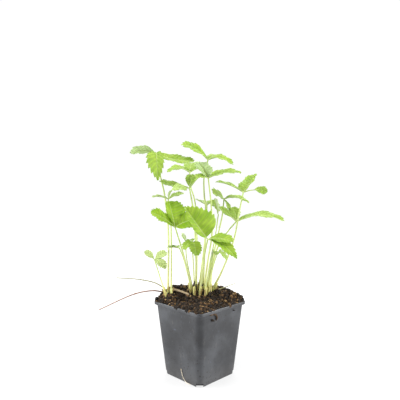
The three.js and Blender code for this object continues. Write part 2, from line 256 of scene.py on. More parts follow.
def settle(piece, slot, *nodes):
    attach(piece, "root")
    if nodes:
        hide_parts(*nodes)
    return piece


# Points along a smooth line through the given ones, spaced the way three-dimensional splines usually are.
def smoothLine(points, count):
    points = np.asarray(points, float)
    points = np.vstack([2 * points[0] - points[1], points, 2 * points[-1] - points[-2]])
    gaps = np.maximum(np.linalg.norm(np.diff(points, axis=0), axis=1) ** 0.5, 1e-6)
    knots = np.concatenate([[0], np.cumsum(gaps)])
    line = []
    for t in np.linspace(knots[1], knots[-2], count):
        i = int(np.clip(np.searchsorted(knots, t, side="right") - 1, 1, len(points) - 3))
        p = points[i - 1 : i + 3]
        k = knots[i - 1 : i + 3]
        for reach in (1, 2):
            share = [(t - k[j]) / (k[j + reach] - k[j]) for j in range(len(p) - 1)]
            p = [p[j] + share[j] * (p[j + 1] - p[j]) for j in range(len(p) - 1)]
        line.append(p[0] + (t - k[1]) / (k[2] - k[1]) * (p[1] - p[0]))
    return np.array(line)


# A closed tube along a line, with its own radius at each point. Returns points, faces and how far along
# (0 to 1) each point is.
def tubeMesh(line, radii, sides, squashed=1.0):
    count = len(line)
    ahead = np.gradient(line, axis=0)
    ahead /= np.linalg.norm(ahead, axis=1, keepdims=True)
    first = np.cross(ahead[0], (0.31, 0.95, 0.11))
    frames = []
    for direction in ahead:
        first = first - direction * np.dot(first, direction)
        first = first / np.linalg.norm(first)
        frames.append((first, np.cross(direction, first)))
    points = []
    for i in range(count):
        across, over = frames[i]
        for j in range(sides):
            angle = 2 * math.pi * j / sides
            offset = math.cos(angle) * across + squashed * math.sin(angle) * over
            points.append(line[i] + radii[i] * offset)
    faces = []
    for i in range(count - 1):
        for j in range(sides):
            k = (j + 1) % sides
            faces.append((i * sides + j, i * sides + k, (i + 1) * sides + k, (i + 1) * sides + j))
    start = len(points)
    points += [line[0] - ahead[0] * radii[0] * 0.4, line[-1] + ahead[-1] * radii[-1] * 0.6]
    last = (count - 1) * sides
    for j in range(sides):
        k = (j + 1) % sides
        faces.append((start, k, j))
        faces.append((start + 1, last + j, last + k))
    along = np.concatenate([np.repeat(np.linspace(0, 1, count), sides), [0, 1]])
    return np.array(points), faces, along


# Collects several meshes into one piece.
def newGathering():
    return {"points": [], "faces": [], "slots": [], "values": {}, "vectors": {}, "count": 0}


def gather(store, points, faces, slot=0, values=None, vectors=None):
    start = store["count"]
    store["points"].append(points)
    store["faces"] += [tuple(start + i for i in face) for face in faces]
    store["slots"] += [slot] * len(faces)
    for key, data in (values or {}).items():
        store["values"].setdefault(key, []).append(np.broadcast_to(data, (len(points),)))
    for key, data in (vectors or {}).items():
        store["vectors"].setdefault(key, []).append(data)
    store["count"] += len(points)


def closeGathering(name, store, materials, smooth=True):
    values = {key: np.concatenate(data) for key, data in store["values"].items()}
    vectors = {key: np.concatenate(data) for key, data in store["vectors"].items()}
    points = toRow(np.concatenate(store["points"]))
    return makePiece(name, points, store["faces"], materials, store["slots"], values, vectors, smooth)


# Leaves: each leaf is a stalk and a blade of leaflets, as in the frame.
leafLook = {
    "topDeep": linear(134, 174, 20),
    "topBright": linear(172, 200, 56),
    "topYoung": linear(204, 218, 152),
    "under": linear(208, 228, 166),
    "underYoung": linear(232, 242, 204),
    "vein": linear(186, 210, 110),
    "glow": linear(176, 208, 60),
    "glowShare": 0.36,
    "roughTop": 0.5,
    "roughUnder": 0.65,
}
leafShape = {
    "thickness": 0.3,
    "fold": 0.22,
    "wide": 0.6,
    "point": 0.6,
    "toothDepth": 0.3,
    "toothPeak": 0.75,
    "firstTooth": 0.14,
    "quilt": 0.36,
    "wave": 0.8,
    "rowsPerTooth": 8,
    "halfColumns": 11,
}
leaves = {
    "leaf_top_left": {
        "tone": 0.15,
        "foot": (-42, -7),
        "crown": 1,
        "via": [(-42, 2, 150), (-43, 15, 196), (-48, 19, 240), (-54, 12, 270)],
        "joint": (-57, 3, 295),
        "leaflets": [
            {"tip": (-34, -8, 1), "width": 20, "bow": 4, "roll": 30},
            {
                "tip": (4, -26, -34),
                "width": 22,
                "bow": 14,
                "lean": (-1, 0),
                "roll": 0,
                "wide": 0.6,
                "skew": 0.2,
                "point": 0.8,
            },
            {"tip": (50, 8, -8), "width": 22, "bow": -3, "roll": 30, "neck": 3, "wide": 0.45},
        ],
    },
    "leaf_top_middle": {
        "tone": 0.12,
        "foot": (4, 7),
        "via": [(7, 9, 173), (8, 13, 224), (6, 15, 240), (6, 14, 265)],
        "joint": (11, 10, 288),
        "leaflets": [
            {"tip": (-36, 4, 20), "width": 22, "bow": 5, "roll": -26},
            {"tip": (33, -6, -7), "width": 18, "bow": 6, "roll": 18},
            {"tip": (16, 27, 7), "width": 18, "bow": 2, "roll": 0},
        ],
    },
    "leaf_rear_left": {
        "tone": 0.3,
        "foot": (-5, 5),
        "via": [(-4, 16, 158), (-5, 29, 212), (-8, 33, 235), (-13, 36, 252)],
        "joint": (-14, 36, 271),
        "leaflets": [
            {"tip": (-31, -2, 0), "width": 18, "bow": 6, "roll": -22},
            {"tip": (2, 25, 14), "width": 20, "bow": 2, "roll": 0},
            {"tip": (23, 10, 5), "width": 18, "bow": 3, "roll": 5},
        ],
    },
    "leaf_high_left": {
        "tone": 0.3,
        "foot": (-5, 0),
        "via": [(-5, 1, 160), (-8, 7, 214), (-11, 11, 234)],
        "joint": (-14, 15, 250),
        "leaflets": [
            {"tip": (-40, -7, 9), "width": 17, "bow": -1, "roll": -26, "neck": 2},
            {"tip": (3, 13, 18), "width": 15, "bow": 2, "roll": 0},
            {"tip": (19, -6, 19), "width": 15, "bow": 2, "roll": 20},
        ],
    },
    "leaf_small_left": {
        "tone": 0.6,
        "foot": (-38, -9),
        "crown": 1,
        "via": [(-38, 2, 150), (-39, 7, 205)],
        "joint": (-42, 3, 236),
        "leaflets": [
            {"tip": (-21, -4, 2), "width": 12, "bow": 2, "roll": -10},
            {"tip": (25, -13, 12), "width": 17, "bow": 8, "lean": (-4, -4), "roll": 30},
            {"tip": (20, 9, 7), "width": 14, "bow": 1, "roll": 14},
        ],
    },
    "leaf_broad_left": {
        "tone": 0.0,
        "foot": (-11, -3),
        "via": [(-16, -6, 139), (-23, -10, 169)],
        "joint": (-32, -16, 200),
        "leaflets": [
            {"tip": (-30, -12, 20), "width": 22, "bow": 3, "roll": -38},
            {"tip": (-9, 12, 33), "width": 31, "bow": 2, "roll": 4, "skew": 0.4, "point": 0.5},
            {"tip": (33, 2, 10), "width": 30, "bow": 3, "roll": 38, "wide": 0.5},
        ],
    },
    "leaf_broad_front": {
        "tone": 0.08,
        "foot": (0, -6),
        "via": [(3, -10, 131), (6, -22, 163)],
        "joint": (10, -34, 187),
        "leaflets": [
            {
                "tip": (-29, 5, 41),
                "width": 33,
                "bow": -1,
                "roll": -58,
                "neck": 3,
                "wide": 0.36,
                "skew": 0.5,
                "point": 0.95,
                "fold": 0.36,
            },
            {"tip": (31, -10, -2), "width": 20, "bow": 3, "roll": 24},
            {"tip": (35, -20, -21), "width": 17, "bow": 6, "roll": 24, "point": 0.8},
        ],
    },
    "leaf_top_right": {
        "tone": 0.2,
        "foot": (18, 3),
        "via": [(28, 1, 135), (39, -5, 164), (46, -9, 188), (51, -9, 216)],
        "joint": (58, 3, 245),
        "leaflets": [
            {"tip": (-37, 2, 13), "width": 18, "bow": 3, "roll": -8},
            {"tip": (19, 19, 24), "width": 26, "bow": 0, "roll": -10, "wide": 0.45, "skew": -0.4},
            {"tip": (31, -5, 0), "width": 13, "bow": 3, "roll": -6, "twist": 70, "neck": 14},
        ],
    },
    "leaf_high_right": {
        "tone": 0.35,
        "foot": (12, 7),
        "via": [(16, 12, 145), (26, 18, 190), (31, 20, 213)],
        "joint": (33, 18, 235),
        "leaflets": [
            {"tip": (-15, -12, 7), "width": 24, "bow": 2, "roll": -34, "wide": 0.5},
            {"tip": (34, 1, -6), "width": 16, "bow": 5, "roll": 16},
            {"tip": (9, -6, -19), "width": 9, "bow": 2, "roll": 4, "neck": 3},
        ],
    },
    "leaf_long_right": {
        "tone": 0.3,
        "foot": (14, -1),
        "via": [(17, 2, 146), (25, 5, 172), (38, 6, 192)],
        "joint": (49, 1, 206),
        "leaflets": [
            {"tip": (-3, 13, 18), "width": 15, "bow": 1, "roll": 0},
            {"tip": (-22, 2, 19), "width": 10, "bow": 0, "roll": -44, "neck": 7},
            {"tip": (61, -14, 2), "width": 22, "bow": 8, "roll": 14, "neck": 3, "wide": 0.5},
        ],
    },
    "leaf_low_left": {
        "tone": 1.0,
        "foot": (-43, -10),
        "crown": 1,
        "via": [(-47, -9, 117), (-57, 18, 134)],
        "joint": (-63, 25, 150),
        "leaflets": [
            {"tip": (-14, 4, 11), "width": 10, "bow": 1, "roll": -40},
            {"tip": (17, 6, 8), "width": 13, "bow": 2, "roll": 36},
            {"tip": (16, -9, -11), "width": 13, "bow": 3, "roll": 30},
        ],
    },
    "leaf_small_front": {
        "tone": 0.1,
        "foot": (-7, -6),
        "via": [(-8, -12, 143), (-9, -18, 165)],
        "joint": (-9, -21, 182),
        "leaflets": [
            {"tip": (-11, -8, -9), "width": 13, "bow": 3, "roll": -16},
            {"tip": (5, -12, -16), "width": 17, "bow": 4, "roll": 0, "wide": 0.55, "point": 0.4},
            {"tip": (-5, 11, 1), "width": 11, "bow": 1, "roll": 0},
        ],
    },
    "leaf_small_middle": {
        "tone": 0.3,
        "foot": (-12, 2),
        "via": [(-17, 0, 138), (-22, -3, 158)],
        "joint": (-27, -4, 171),
        "leaflets": [
            {"tip": (-16, -4, 1), "width": 12, "bow": 1, "roll": 22},
            {"tip": (-8, 12, 0), "width": 11, "bow": 1, "roll": 0},
            {"tip": (-12, -10, 3), "width": 10, "bow": 1, "roll": 0},
        ],
    },
    "leaf_under_front": {
        "tone": 0.5,
        "foot": (11, -5),
        "via": [(15, -7, 136), (20, -12, 156)],
        "joint": (24, -17, 168),
        "leaflets": [
            {"tip": (11, -4, -10), "width": 9, "bow": 3, "roll": 20},
            {"tip": (-3, -12, -2), "width": 9, "bow": 2, "roll": 0},
            {"tip": (9, 8, -1), "width": 9, "bow": 2, "roll": 0},
        ],
    },
    "leaf_rear_middle": {
        "tone": 0.3,
        "foot": (-1, 9),
        "via": [(4, 20, 150), (9, 27, 198)],
        "joint": (10, 30, 226),
        "leaflets": [
            {"tip": (-16, -2, 8), "width": 13, "bow": 0, "roll": 0},
            {"tip": (17, -2, -9), "width": 16, "bow": 6, "roll": 24},
            {"tip": (-2, 28, 0), "width": 19, "bow": 4, "roll": 0},
        ],
    },
    "leaf_high_middle": {
        "tone": 0.25,
        "foot": (6, -1),
        "via": [(11, -1, 154), (16, -4, 188), (15, -8, 227)],
        "joint": (11, -10, 264),
        "leaflets": [
            {"tip": (-13, -16, 20), "width": 25, "bow": 2, "roll": 0, "wide": 0.5},
            {"tip": (42, -5, 6), "width": 21, "bow": 4, "roll": 18, "neck": 1, "wide": 0.4},
            {"tip": (-15, -14, 0), "width": 14, "bow": 2, "roll": -20},
        ],
    },
    "young_leaf_right": {
        "tone": 1.0,
        "foot": (9, 3),
        "via": [(14, 5, 150), (21, 9, 185)],
        "joint": (25, 10, 214),
        "leaflets": [{"tip": (-6, 2, 21), "width": 8, "bow": 3, "roll": 30, "fold": 1.2}],
    },
    "young_leaf_left": {
        "tone": 0.9,
        "foot": (-10, 6),
        "via": [(-15, 2, 141), (-18, -4, 162)],
        "joint": (-18, -8, 182),
        "leaflets": [{"tip": (-5, -6, 10), "width": 6, "bow": -3, "roll": 20, "fold": 1.2}],
    },
    "young_leaf_front": {
        "tone": 1.0,
        "foot": (7, -7),
        "via": [(10, -12, 132)],
        "joint": (15, -19, 154),
        "leaflets": [{"tip": (3, -5, 18), "width": 4, "bow": 2, "roll": 40, "fold": 1.2}],
    },
}


def makeLeafMaterial():
    material, tree, output, place = startMaterial("leaf")
    grid = linkNode(tree, "ShaderNodeSeparateXYZ", {0: readAttribute(tree, "leafGrid").outputs["Vector"]})
    tone = readAttribute(tree, "tone").outputs["Fac"]
    phase, fromMidrib, under = grid.outputs
    toVein = mathNode(tree, "PINGPONG", mathNode(tree, "ADD", phase, 1 - leafShape["toothPeak"]), 0.5)
    sideVein = mapRange(tree, toVein, 0.015, 0.12, 1.0, 0.0)
    midrib = mapRange(tree, fromMidrib, 0.2, 0.7, 1.0, 0.0)
    vein = mathNode(tree, "MAXIMUM", mathNode(tree, "MULTIPLY", sideVein, 0.6), midrib)
    patches = noiseNode(tree, place, 90.0, 4.0)
    top = mixColour(tree, mapRange(tree, patches, 0.3, 0.7), leafLook["topDeep"], leafLook["topBright"])
    top = mixColour(tree, tone, top, leafLook["topYoung"])
    # Painted shade and highlight: the top is darkened in the sunk creases along the side veins and lightened
    # a little on the raised bulges between them.
    top = darken(tree, top, mapRange(tree, toVein, 0.0, 0.5, 0.84, 1.08))
    top = mixColour(tree, mathNode(tree, "MULTIPLY", vein, 0.5), top, leafLook["vein"])
    below = mixColour(tree, tone, leafLook["under"], leafLook["underYoung"])
    below = mixColour(tree, mathNode(tree, "MULTIPLY", vein, 0.7), below, linear(206, 224, 170))
    colour = mixColour(tree, under, top, below)
    inputs = {"Vector": place, "Scale": 1000.0}
    cells = linkNode(tree, "ShaderNodeTexVoronoi", inputs, feature="DISTANCE_TO_EDGE")
    net = mapRange(tree, cells.outputs[0], 0.0, 0.12)
    colour = darken(tree, colour, mapRange(tree, net, 0, 1, 0.88, 1.0))
    rough = mapRange(tree, under, 0, 1, leafLook["roughTop"], leafLook["roughUnder"])
    bump = linkNode(tree, "ShaderNodeBump", {"Height": net, "Strength": 0.25, "Distance": 0.0002})
    inputs = {"Base Color": colour, "Roughness": rough, "Normal": bump.outputs[0], "Specular IOR Level": 0.35}
    surface = linkNode(tree, "ShaderNodeBsdfPrincipled", inputs)
    glowColour = mixColour(tree, mapRange(tree, tone, 0.2, 1.0, 0.55, 0.25), colour, leafLook["glow"])
    glow = linkNode(tree, "ShaderNodeBsdfTranslucent", {"Color": glowColour, "Normal": bump.outputs[0]})
    mixed = linkNode(tree, "ShaderNodeMixShader", {1: surface.outputs[0], 2: glow.outputs[0]})
    mixed.inputs[0].default_value = leafLook["glowShare"]
    finishSurface(tree, output, mixed.outputs[0])
    return material


stalkLook = {
    "baseColour": linear(168, 152, 76),
    "lowColour": linear(210, 210, 136),
    "midColour": linear(214, 222, 158),
    "topColour": linear(172, 196, 104),
    "streak": linear(160, 170, 96),
    "blush": linear(180, 142, 98),
    "share": (0, 0.12, 0.4, 1),  # where along the stalk each radius holds
    "radius": (1.8, 1.5, 1.25, 0.85),
    "sides": 10,
    "rings": 42,
}


def makeStalkMaterial():
    material, tree, output, place = startMaterial("stalk")
    along = readAttribute(tree, "along").outputs["Fac"]
    stops = [
        (0.0, stalkLook["baseColour"]),
        (0.1, stalkLook["lowColour"]),
        (0.35, stalkLook["midColour"]),
        (1.0, stalkLook["topColour"]),
    ]
    colour = rampNode(tree, along, stops)
    streak = linkNode(tree, "ShaderNodeMapping", {"Vector": place, "Scale": (1, 1, 0.08)}).outputs[0]
    lines = noiseNode(tree, streak, 900.0, 2.0)
    colour = mixColour(tree, mapRange(tree, lines, 0.35, 0.75, 0.0, 0.35), colour, stalkLook["streak"])
    blush = mapRange(tree, noiseNode(tree, place, 60.0), 0.55, 0.75, 0.0, 0.25)
    colour = mixColour(tree, blush, colour, stalkLook["blush"])
    bump = linkNode(tree, "ShaderNodeBump", {"Height": lines, "Strength": 0.3, "Distance": 0.0003})
    inputs = {"Base Color": colour, "Roughness": 0.5, "Normal": bump.outputs[0], "Subsurface Weight": 0.12}
    shader = linkNode(tree, "ShaderNodeBsdfPrincipled", inputs)
    shader.inputs["Subsurface Radius"].default_value = (1.0, 1.0, 0.4)
    shader.inputs["Subsurface Scale"].default_value = 0.001
    finishSurface(tree, output, shader.outputs[0])
    return material


def outline(u, wide, tipPower):
    basePower = tipPower * wide / (1 - wide)
    u = np.clip(u, 0, 1)
    peak = wide**basePower * (1 - wide) ** tipPower
    return u**basePower * (1 - u) ** tipPower / peak


# The midrib of a leaflet and the directions across and out of its face, at shares u of its length.
def leafletLine(leaflet, u):
    tip = np.array(leaflet["tip"], float)
    leanX, leanY = leaflet.get("lean", (0, 0))
    control = 2 * np.array([leanX, leanY, leaflet["bow"]]) + tip / 2
    u = np.asarray(u, float)[..., None]
    centre = 2 * u * (1 - u) * control + u**2 * tip
    ahead = 2 * (1 - u) * control + 2 * u * (tip - control)
    ahead = ahead / np.linalg.norm(ahead, axis=-1, keepdims=True)
    side = np.cross(ahead, (0, 0, 1))
    side = side / np.linalg.norm(side, axis=-1, keepdims=True)
    turn = np.radians(leaflet["roll"] + u * leaflet.get("twist", 0))
    side = side * np.cos(turn) + np.cross(ahead, side) * np.sin(turn)
    return centre, side, np.cross(side, ahead)


# Faces of a thin closed sheet: a grid, the same grid turned over below it, and the rim between them.
def sheetFaces(rows, columns):
    gap = rows * columns
    index = np.arange(gap).reshape(rows, columns)
    quads = np.stack([index[:-1, :-1], index[:-1, 1:], index[1:, 1:], index[1:, :-1]], -1).reshape(-1, 4)
    loop = np.concatenate([index[0, :], index[1:, -1], index[-1, -2::-1], index[-2:0:-1, 0]])
    after = np.roll(loop, -1)
    rim = np.stack([after, loop, loop + gap, after + gap], -1)
    return np.concatenate([quads, quads[:, ::-1] + gap, rim]).tolist()


def leafletSheet(leaflet, seed):
    shape = leafShape
    length = np.linalg.norm(leaflet["tip"])
    neck = leaflet.get("neck", 1) / length
    fold = leaflet.get("fold", shape["fold"])
    wide = leaflet.get("wide", shape["wide"])
    teeth = int(np.clip(round(4 + length / 8), 5, 10))
    rows = teeth * shape["rowsPerTooth"] + 1
    columns = 2 * (shape["halfColumns"] if length > 20 else shape["halfColumns"] - 4) + 1
    s = np.linspace(0, 1, rows)[:, None]
    v = np.linspace(-1, 1, columns)[None, :]
    v = np.sign(v) * np.abs(v) ** 0.85
    out = np.abs(v)
    edge = 1 - (1 - s) ** 1.55  # where on the margin a side vein that leaves the midrib at s ends
    phase = s * teeth
    step = phase % 1
    peak = shape["toothPeak"]
    tooth = np.where(step < peak, (step / peak) ** 0.9, (1 - step) / (1 - peak)) - 0.45
    ragged = np.random.default_rng(seed).uniform(0.7, 1.25, teeth + 1)[np.minimum(phase.astype(int), teeth)]
    toothed = np.clip((s - shape["firstTooth"]) / 0.12, 0, 1) * np.clip((1 - s) / 0.05, 0.25, 1)
    tooth = tooth * ragged * toothed * out**6
    half = leaflet["width"] / 2
    least = 0.45 + (0.1 - 0.45) * s
    reach = np.maximum(half * outline(edge, wide, leaflet.get("point", shape["point"])), least)
    reach = reach + shape["toothDepth"] * half**0.5 * 2.2 * tooth * np.clip(reach / half, 0.4, 1)
    across = v * reach * (1 + np.sign(v) * leaflet.get("skew", 0))
    u = s + (edge - s) * out**1.25 + 0.35 / teeth * tooth
    u = neck + (1 - neck) * np.clip(u, 0, 1.02)
    quilt = np.sin(np.pi * ((phase - peak) % 1)) ** 0.7
    size = min(1, half / 11)
    body = np.clip(out / 0.25, 0, 1) * (1 - 0.6 * out**6) * np.clip((1 - s) / 0.15, 0, 1)
    relief = shape["quilt"] * size * (quilt - 0.5) * body
    relief = relief - 0.35 * size * np.exp(-((across / 0.9) ** 2))
    relief = relief + shape["wave"] * size * out**2 * np.sin(2 * np.pi * (2.6 * s + 0.37 * seed) + np.sign(v))
    lift = fold * np.abs(across) * (1 - 0.35 * (np.abs(across) / half) ** 1.5)
    centre, side, face = leafletLine(leaflet, u)
    middle = centre + side * across[..., None] + face * (lift + relief)[..., None]
    thick = shape["thickness"] * (1 - 0.5 * out**6) * np.ones_like(s)
    over = middle + face * thick[..., None] / 2
    below = middle - face * thick[..., None] / 2
    points = np.concatenate([over.reshape(-1, 3), below.reshape(-1, 3)])
    faces = sheetFaces(rows, columns)
    fromMidrib = np.abs(across) + 0 * s
    marks = np.stack([phase + 0 * v, fromMidrib, 0 * across], -1).reshape(-1, 3)
    markBelow = marks + (0, 0, 1)
    return points, faces, np.concatenate([marks, markBelow])


def makeLeaf(name, leaf, crownTop):
    joint = np.array(leaf["joint"], float)
    longest = max(np.linalg.norm(leaflet["tip"]) for leaflet in leaf["leaflets"])
    stout = float(np.clip(0.55 + longest / 75, 0.6, 1.05))
    blade = newGathering()
    for number, leaflet in enumerate(leaf["leaflets"]):
        seed = sum(map(ord, name)) + number
        points, faces, marks = leafletSheet(leaflet, seed)
        gather(blade, points + joint, faces, 0, {"tone": leaf["tone"], "along": 1.0}, {"leafGrid": marks})
        share = np.linspace(0, 0.93, 22)
        centre, side, face = leafletLine(leaflet, share)
        radii = stout * (0.75 * (1 - share) ** 0.8 + 0.12)
        line = joint + centre - face * (0.1 + 0.55 * radii[:, None])
        line[0] = joint
        points, faces, along = tubeMesh(line, radii, 8)
        marks = np.zeros((len(points), 3))
        values = {"tone": leaf["tone"], "along": 0.8 + 0.2 * along}
        gather(blade, points, faces, 1, values, {"leafGrid": marks})
    made = closeGathering(name + "_blade_grown", blade, [leafMaterial, stalkMaterial])
    settle(made, "young_leaf" if name.startswith("young") else "leaf", name + "_blade")
    footX, footY = leaf["foot"]
    foot = (footX, footY, crownTop - 6)
    start = (footX, footY, crownTop + 1)
    line = smoothLine([foot, start, *leaf["via"], joint], stalkLook["rings"])
    share = np.linspace(0, 1, len(line))
    radii = np.interp(share, stalkLook["share"], stalkLook["radius"])
    points, faces, along = tubeMesh(line, radii * stout, stalkLook["sides"])
    stalk = newGathering()
    gather(stalk, points, faces, 0, {"along": along})
    made = closeGathering(name + "_stalk_grown", stalk, [stalkMaterial])
    settle(made, "stalk", name + "_stalk")


leafMaterial = makeLeafMaterial()
stalkMaterial = makeStalkMaterial()
for name, leaf in leaves.items():
    node = "crown_left" if leaf.get("crown") else "crown_main"
    makeLeaf(name, leaf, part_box(node)[1].z / mm - 2.5)
print("leaves grown:", len(leaves))

# Pot, in its own millimetres: its sides run along X and Y.
potShape = {
    "baseWidth": 68.5,
    "topWidth": 86,
    "baseCorner": 8,
    "topCorner": 9,
    "rimHeight": 4.5,
    "rimCorner": 7,
    "wall": 1.1,
    "floor": 1.6,
    "sag": 0.5,
    "arcSteps": 10,
    "sideSteps": 14,
    "wallRings": 18,
    "slot": {"width": 9, "height": 5, "depth": 20},
    "hole": {"radius": 4, "spread": 17},
}
potLook = {
    "plastic": linear(42, 43, 46),
    "pale": linear(72, 74, 78),
    "dust": linear(128, 124, 118),
    "bluish": linear(96, 104, 122),
    "smear": linear(38, 37, 38),
    "soilMark": linear(30, 24, 20),
    "rough": 0.46,
}


def toPlant(points):
    points = np.asarray(points, float)
    x = points[..., 0:1]
    y = points[..., 1:2]
    half = math.sqrt(0.5)
    return np.concatenate([(x + y) * half, (y - x) * half, points[..., 2:3]], -1)


def squareRing(width, corner, z, sag=0.0):
    arc = potShape["arcSteps"]
    sides = potShape["sideSteps"]
    inner = width / 2 - corner
    points = []
    for quarter in range(4):
        turn = quarter * math.pi / 2
        bend = [i / arc * math.pi / 2 for i in range(arc + 1)]
        local = [(inner + corner * math.cos(angle), inner + corner * math.sin(angle)) for angle in bend]
        for i in range(1, sides):
            local.append((inner * (1 - 2 * i / sides), width / 2 - sag * math.sin(math.pi * i / sides) ** 2))
        for x, y in local:
            turnedX = x * math.cos(turn) - y * math.sin(turn)
            turnedY = x * math.sin(turn) + y * math.cos(turn)
            points.append((turnedX, turnedY, z))
    return points


def loftRings(rings):
    count = len(rings[0])
    points = [point for ring in rings for point in ring]
    faces = []
    for ring in range(len(rings) - 1):
        for i in range(count):
            j = (i + 1) % count
            faces.append((ring * count + i, ring * count + j, (ring + 1) * count + j, (ring + 1) * count + i))
    last = (len(rings) - 1) * count
    points += [tuple(np.mean(rings[0], axis=0)), tuple(np.mean(rings[-1], axis=0))]
    for i in range(count):
        j = (i + 1) % count
        faces.append((len(points) - 2, j, i))
        faces.append((len(points) - 1, last + i, last + j))
    return np.array(points, float), faces


def makePotMaterial():
    material, tree, output, place = startMaterial("potPlastic")
    cloud = noiseNode(tree, place, 22.0, 4.0)
    colour = mixColour(tree, mapRange(tree, cloud, 0.35, 0.7), potLook["plastic"], potLook["pale"])
    scuffPlace = linkNode(tree, "ShaderNodeMapping", {"Vector": place, "Scale": (1, 1, 0.35)}).outputs[0]
    scuff = mapRange(tree, noiseNode(tree, scuffPlace, 260.0, 5.0, 0.7), 0.58, 0.74)
    colour = mixColour(tree, mathNode(tree, "MULTIPLY", scuff, 0.28), colour, potLook["dust"])
    speck = linkNode(tree, "ShaderNodeTexVoronoi", {"Vector": place, "Scale": 230.0})
    size = mathNode(tree, "MULTIPLY", noiseNode(tree, place, 35.0), 0.36)
    dot = mapRange(tree, mathNode(tree, "SUBTRACT", size, speck.outputs["Distance"]), 0.0, 0.05)
    colour = mixColour(tree, mathNode(tree, "MULTIPLY", dot, 0.75), colour, potLook["soilMark"])
    smear = mapRange(tree, noiseNode(tree, place, 75.0, 6.0, 0.75), 0.56, 0.7, 0.0, 0.5)
    colour = mixColour(tree, smear, colour, potLook["smear"])
    blue = mapRange(tree, noiseNode(tree, place, 140.0, 5.0, 0.7), 0.62, 0.72, 0.0, 0.4)
    colour = mixColour(tree, blue, colour, potLook["bluish"])
    height = linkNode(tree, "ShaderNodeSeparateXYZ", {0: place}).outputs[2]
    dusty = mapRange(tree, height, 0.0, 0.03, 0.22, 0.0)
    dusty = mathNode(tree, "MULTIPLY", dusty, noiseNode(tree, place, 120.0))
    colour = mixColour(tree, dusty, colour, potLook["dust"])
    grain = noiseNode(tree, place, 2600.0, 2.0)
    cloudy = mathNode(tree, "MULTIPLY", cloud, 0.16)
    rough = mathNode(tree, "ADD", cloudy, mathNode(tree, "MULTIPLY", scuff, 0.14))
    rough = mathNode(tree, "ADD", rough, potLook["rough"] - 0.08)
    bump = linkNode(tree, "ShaderNodeBump", {"Height": grain, "Strength": 0.14, "Distance": 0.0002})
    inputs = {"Base Color": colour, "Roughness": rough, "Normal": bump.outputs[0], "Specular IOR Level": 0.5}
    shader = linkNode(tree, "ShaderNodeBsdfPrincipled", inputs)
    finishSurface(tree, output, shader.outputs[0])
    return material


def cutAway(piece, cutters):
    for cutter in cutters:
        change = piece.modifiers.new("cut", "BOOLEAN")
        change.operation = "DIFFERENCE"
        change.solver = "MANIFOLD"
        change.object = cutter
    bpy.context.view_layer.update()
    solid = bpy.data.meshes.new_from_object(piece.evaluated_get(bpy.context.evaluated_depsgraph_get()))
    piece.modifiers.clear()
    piece.data = solid
    for cutter in cutters:
        bpy.data.objects.remove(cutter)


def slotBlock(angle, grow):
    slot = potShape["slot"]
    bpy.ops.mesh.primitive_cube_add(size=1)
    block = bpy.context.object
    size = Vector((slot["depth"] + 2 * grow, slot["width"] + 2 * grow, 2 * (slot["height"] + grow)))
    block.scale = size * mm
    spread = potShape["baseWidth"] / math.sqrt(2) * mm
    block.location = (spread * math.cos(angle), spread * math.sin(angle), 0)
    block.rotation_euler = (0, 0, angle)
    return block


def makePot():
    shape = potShape
    low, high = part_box("pot")
    top = high.z / mm
    rimWidth = (high.x - low.x) / mm
    foot = top - shape["rimHeight"]

    def wallWidth(z):
        return shape["baseWidth"] + (shape["topWidth"] - shape["baseWidth"]) * z / foot

    def corner(z):
        return shape["baseCorner"] + (shape["topCorner"] - shape["baseCorner"]) * z / foot

    rings = [squareRing(shape["baseWidth"] - 2, shape["baseCorner"] - 1, 0)]
    rings.append(squareRing(wallWidth(0.5) - 0.8, corner(0) - 0.3, 0.5))
    for z in np.linspace(1.5, foot - 0.5, shape["wallRings"]):
        sag = shape["sag"] * math.sin(math.pi * z / foot)
        rings.append(squareRing(wallWidth(z), corner(z), z, sag))
    lip = [(foot, 0.5), (foot + 0.25, 3.2), (foot + 0.7, 4.0), (top - 0.9, 4.0), (top - 0.3, 3.7), (top, 3.0)]
    for z, out in lip:
        rings.append(squareRing(shape["topWidth"] + out, shape["rimCorner"] + 2 - out / 2, z))
    rings.append(squareRing(rimWidth - 3.6, shape["rimCorner"], top))
    rings.append(squareRing(rimWidth - 4.4, shape["rimCorner"], top - 0.5))
    rings.append(squareRing(wallWidth(foot) - 2 * shape["wall"], corner(foot) - shape["wall"], foot))
    for z in np.linspace(foot - 8, shape["floor"], 5):
        rings.append(squareRing(wallWidth(z) - 2 * shape["wall"], corner(z) - shape["wall"], z, 0))
    points, faces = loftRings(rings)
    pot = makePiece("pot_moulded", points * mm, faces, [potMaterial])
    cutters = []
    for quarter in range(4):
        angle = math.pi / 4 + quarter * math.pi / 2
        bpy.ops.mesh.primitive_cylinder_add(vertices=32, radius=shape["hole"]["radius"] * mm, depth=6 * mm)
        drill = bpy.context.object
        reach = shape["hole"]["spread"] * mm
        drill.location = (reach * math.cos(angle), reach * math.sin(angle), 0)
        cutters += [slotBlock(angle, 0), drill]
    cutAway(pot, cutters)
    pot.data.polygons.foreach_set("use_smooth", [True] * len(pot.data.polygons))
    pot.data.set_sharp_from_angle(angle=math.radians(38))
    settle(pot, "pot", "pot")


potMaterial = makePotMaterial()
makePot()
print("pot moulded")

# Soil: a heaped surface, and the crumbs, bark and fibres that lie on it.
soilShape = {
    "edge": 97.6,
    "halfWidth": 42.6,
    "corner": 7.5,
    "steps": 150,
    "bottom": 2.4,
    "frontRise": 8,
    "leftHeap": (-41, -11, 7.0, 8.0),
    "ridgeAt": (-60, -53, -46, -40, -33, -16, 18, 29, 43, 53, 60),
    "ridgeTop": (103, 106.5, 110.5, 113.5, 114.3, 112, 112, 112, 109, 106.5, 103),
    "clods": 1.5,
}
crumbs = {"small": 4600, "large": 1500, "chips": 260, "fibres": 170, "rimShare": 0.14, "seed": 7}
soilLook = {
    "dark": linear(15, 11, 7),
    "mid": linear(50, 35, 19),
    "brown": linear(108, 79, 46),
    "tan": linear(168, 140, 98),
    "straw": linear(236, 226, 204),
}


